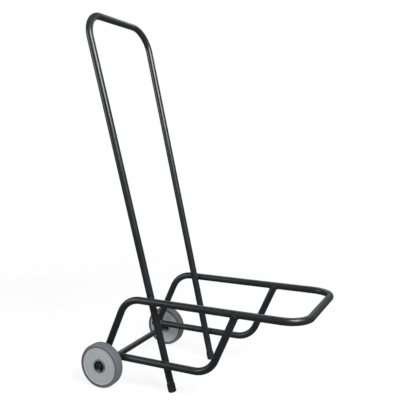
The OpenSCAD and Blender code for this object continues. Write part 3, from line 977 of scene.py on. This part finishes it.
def build_materials():
    """The shared effects first, then the finishes that use them."""
    GROUPS.update(
        surface=make_surface_group(), scuffs=make_scuff_group(), dust=make_dust_group(),
        rings=make_wheel_group())
    finish = settings("cart_finish")
    MATERIALS.update(
        coat=make_powder_coat("Black powder coat"),
        weld=make_powder_coat("Powder coat on weld", roughness_extra=0.07, peel_extra=1.6),
        tyre=make_tyre_rubber(),
        rim=make_rim_plastic(),
        cap=make_cap_rubber(),
        plug=make_plug_plastic(),
        nylon=make_nylon(),
        zinc=make_metal("Zinc plate", finish.zinc_colour, 0.34, ZINC_TARNISH),
        clip=make_metal("Blackened spring steel", finish.clip_colour, 0.36, STEEL_TARNISH))


# ---------------------------------------------------------------- operators

class CART_OT_materials(bpy.types.Operator):
    """Make the finishes that the cart's pieces share"""
    bl_idname = "cart.materials"
    bl_label = "Make Finishes"

    def execute(self, context):
        build_materials()
        return {"FINISHED"}


class CART_OT_tubes(bpy.types.Operator):
    """Powder coat the handle, the platform, the lower rails and the axle"""
    bl_idname = "cart.tubes"
    bl_label = "Coat Tubes and Axle"

    def execute(self, context):
        rails = ["lower_rail_" + side for side in SIDES]
        finish_cad(["handle_frame", "platform_loop", "axle", *rails], MATERIALS["coat"])
        return {"FINISHED"}


class CART_OT_welds(bpy.types.Operator):
    """Lay rippled weld beads where the tubes meet"""
    bl_idname = "cart.welds"
    bl_label = "Lay Weld Beads"

    def execute(self, context):
        material = MATERIALS["weld"]
        build_tee_beads(
            "weld_ripples_risers", "weld_beads_risers", lambda side: "lower_rail_left" if side > 0
            else "lower_rail_right", HIGH_RAIL.z, -1, material)
        build_tee_beads(
            "weld_ripples_legs", "weld_beads_legs", lambda side: "platform_loop", LOW_RAIL.z, 1, material)
        build_upright_beads(material)
        build_axle_beads(material)
        return {"FINISHED"}


class CART_OT_feet(bpy.types.Operator):
    """Put rubber caps on the feet and plugs in the lower rails"""
    bl_idname = "cart.feet"
    bl_label = "Fit Caps and Plugs"

    def execute(self, context):
        for side_name in SIDES:
            build_foot_cap(side_name, MATERIALS["cap"])
            build_rail_plug(side_name, MATERIALS["plug"])
        return {"FINISHED"}


class CART_OT_tyres(bpy.types.Operator):
    """Build the two grey rubber tyres"""
    bl_idname = "cart.tyres"
    bl_label = "Build Tyres"

    def execute(self, context):
        for side_name in SIDES:
            build_tyre(side_name, MATERIALS["tyre"])
        return {"FINISHED"}


class CART_OT_rims(bpy.types.Operator):
    """Build the two moulded halves of each rim"""
    bl_idname = "cart.rims"
    bl_label = "Build Rims"

    def execute(self, context):
        for side_name in SIDES:
            for end_name in ENDS:
                build_rim(side_name, end_name, MATERIALS["rim"])
        return {"FINISHED"}


class CART_OT_hubs(bpy.types.Operator):
    """Fit the bushes, washers and retaining clips on the axle"""
    bl_idname = "cart.hubs"
    bl_label = "Fit Hub Parts"

    def execute(self, context):
        for side_name in SIDES:
            for end_name in ENDS:
                tail = f"_{end_name}_{side_name}"
                build_turned_ring(
                    "bush" + tail, "nylon_bush" + tail, "wheel_" + side_name, MATERIALS["nylon"])
                build_turned_ring(
                    "washer" + tail, "plated_washer" + tail, "frame", MATERIALS["zinc"])
                build_clip("clip" + tail, "spring_clip" + tail, MATERIALS["clip"])
        return {"FINISHED"}


# The camera's place in metres, its turn in radians, and its lens and sensor width in millimetres
CAMERA_PLACE = (0.826, -1.821, 0.886)
CAMERA_TURN = (math.pi / 2 - 0.1105, 0.0, 0.4493)
CAMERA_LENS = 50.54
CAMERA_SENSOR = 36.0
FLOOR_SIZE = 14.0
# Distances from the middle between which the floor melts into the backdrop
FLOOR_FADE = (1.1, 2.6)
# Share of the backdrop's glow that the floor has under the cart, and its glow in the cart's reflections
FLOOR_GLOW = 0.85
MIRRORED_FLOOR = 0.12
ROOM_COLOUR = (0.93, 0.97, 1, 1)
# Each light: name, place, size, the setting that holds its power, and its tint
LIGHTS = (
    ("Key", (1.9, -1.2, 2.6), (1.6, 1.6), "key_power", (1, 1, 1)),
    ("Fill", (-2.4, -2.2, 1.6), (1.8, 1.8), "fill_power", (0.95, 0.98, 1)),
    ("Back", (-0.6, 2.4, 2.4), (2.2, 1.0), "back_power", (1, 0.98, 0.95)),
)
LIGHTS_AIM = (0, 0, 0.55)


def make_floor_material():
    """A pale matte floor that melts into the backdrop, dimmer where it is only mirrored."""
    stage = settings("cart_stage")
    material, tree, shader, place = new_material("Studio floor", Roughness=0.75, Specular_IOR_Level=0.1)
    cloud = ramp(tree, noise(tree, place, 1.5, 3.0), 0.3, 0.7)
    tree.links.new(
        mixed(tree, cloud, scaled(stage.floor_colour, 0.99), full(stage.floor_colour)),
        shader.inputs["Base Color"])
    glow = add_node(tree, "ShaderNodeEmission", {"Color": (1, 1, 1, 1), "Strength": stage.backdrop})
    distance = add_node(tree, "ShaderNodeVectorMath", operation="LENGTH")
    tree.links.new(place, distance.inputs[0])
    far = ramp(tree, distance.outputs["Value"], *FLOOR_FADE, to_low=FLOOR_GLOW)
    dim = add_node(tree, "ShaderNodeEmission", {"Color": (1, 1, 1, 1), "Strength": MIRRORED_FLOOR})
    seen = add_node(tree, "ShaderNodeMixShader")
    tree.links.new(far, seen.inputs[0])
    tree.links.new(shader.outputs["BSDF"], seen.inputs[1])
    tree.links.new(glow.outputs["Emission"], seen.inputs[2])
    path = add_node(tree, "ShaderNodeLightPath")
    final = add_node(tree, "ShaderNodeMixShader")
    tree.links.new(path.outputs["Is Glossy Ray"], final.inputs[0])
    tree.links.new(seen.outputs["Shader"], final.inputs[1])
    tree.links.new(dim.outputs["Emission"], final.inputs[2])
    output = tree.nodes["Material Output"]
    tree.links.new(final.outputs["Shader"], output.inputs["Surface"])
    return material


def make_world():
    """White to the eye, and a dim grey room in reflections."""
    stage = settings("cart_stage")
    world = bpy.data.worlds.new("Studio")
    bpy.context.scene.world = world
    world.use_nodes = True
    tree = world.node_tree
    tree.nodes.clear()
    white = add_node(tree, "ShaderNodeBackground", {"Color": (1, 1, 1, 1), "Strength": stage.backdrop})
    room = add_node(tree, "ShaderNodeBackground", {"Color": ROOM_COLOUR, "Strength": stage.room_light})
    path = add_node(tree, "ShaderNodeLightPath")
    mix = add_node(tree, "ShaderNodeMixShader")
    output = add_node(tree, "ShaderNodeOutputWorld")
    tree.links.new(path.outputs["Is Camera Ray"], mix.inputs[0])
    tree.links.new(room.outputs["Background"], mix.inputs[1])
    tree.links.new(white.outputs["Background"], mix.inputs[2])
    tree.links.new(mix.outputs["Shader"], output.inputs["Surface"])


def add_area_light(name, place, size, watts, tint):
    """A soft light that is aimed at the middle of the cart."""
    data = bpy.data.lights.new(name, "AREA")
    data.shape = "RECTANGLE"
    data.size, data.size_y = size
    data.energy = watts
    data.color = tint
    light = bpy.data.objects.new(name, data)
    bpy.context.scene.collection.objects.link(light)
    light.location = place
    light.rotation_euler = (Vector(LIGHTS_AIM) - Vector(place)).to_track_quat("-Z", "Y").to_euler()
    light.visible_camera = False


class CART_OT_stage(bpy.types.Operator):
    """Set up the floor, the soft lights and the camera"""
    bl_idname = "cart.stage"
    bl_label = "Set Up Studio"

    def execute(self, context):
        stage = settings("cart_stage")
        mesh = bmesh.new()
        bmesh.ops.create_grid(mesh, x_segments=1, y_segments=1, size=FLOOR_SIZE / 2)
        data = bpy.data.meshes.new("studio_floor")
        mesh.to_mesh(data)
        mesh.free()
        data.materials.append(make_floor_material())
        floor = bpy.data.objects.new("studio_floor", data)
        bpy.context.scene.collection.objects.link(floor)
        make_world()
        for name, place, size, power_setting, tint in LIGHTS:
            add_area_light(name, place, size, getattr(stage, power_setting), tint)
        data = bpy.data.cameras.new("Camera")
        data.sensor_width = CAMERA_SENSOR
        data.lens = CAMERA_LENS
        camera = bpy.data.objects.new("Camera", data)
        bpy.context.scene.collection.objects.link(camera)
        camera.location = CAMERA_PLACE
        camera.rotation_euler = CAMERA_TURN
        bpy.context.scene.camera = camera
        bpy.context.scene.view_settings.view_transform = "Standard"
        return {"FINISHED"}


STEPS = (
    CART_OT_materials, CART_OT_tubes, CART_OT_welds, CART_OT_feet, CART_OT_tyres, CART_OT_rims,
    CART_OT_hubs, CART_OT_stage)


class CART_PT_panel(bpy.types.Panel):
    """The cart's build steps and settings"""
    bl_idname = "CART_PT_panel"
    bl_label = "Luggage Cart"
    bl_space_type = "VIEW_3D"
    bl_region_type = "UI"
    bl_category = "Luggage Cart"

    def draw(self, context):
        for step in STEPS:
            self.layout.operator(step.bl_idname)
        for name in SETTINGS:
            group = settings(name)
            box = self.layout.box()
            for key in group.bl_rna.properties.keys():
                if key not in ("rna_type", "name"):
                    box.prop(group, key)


SETTINGS = {
    "cart_finish": CartFinishSettings,
    "cart_weld": CartWeldSettings,
    "cart_wheel": CartWheelSettings,
    "cart_stage": CartStageSettings,
}


def register():
    for group in SETTINGS.values():
        bpy.utils.register_class(group)
    for name, group in SETTINGS.items():
        setattr(bpy.types.Scene, name, PointerProperty(type=group))
    for step in STEPS:
        bpy.utils.register_class(step)
    bpy.utils.register_class(CART_PT_panel)


def unregister():
    bpy.utils.unregister_class(CART_PT_panel)
    for step in reversed(STEPS):
        bpy.utils.unregister_class(step)
    for name, group in SETTINGS.items():
        delattr(bpy.types.Scene, name)
        bpy.utils.unregister_class(group)


def main():
    register()
    bpy.ops.cart.materials()
    bpy.ops.cart.tubes()
    bpy.ops.cart.welds()
    bpy.ops.cart.feet()
    bpy.ops.cart.tyres()
    bpy.ops.cart.rims()
    bpy.ops.cart.hubs()
    bpy.ops.cart.stage()


if __name__ == "__main__":
    main()
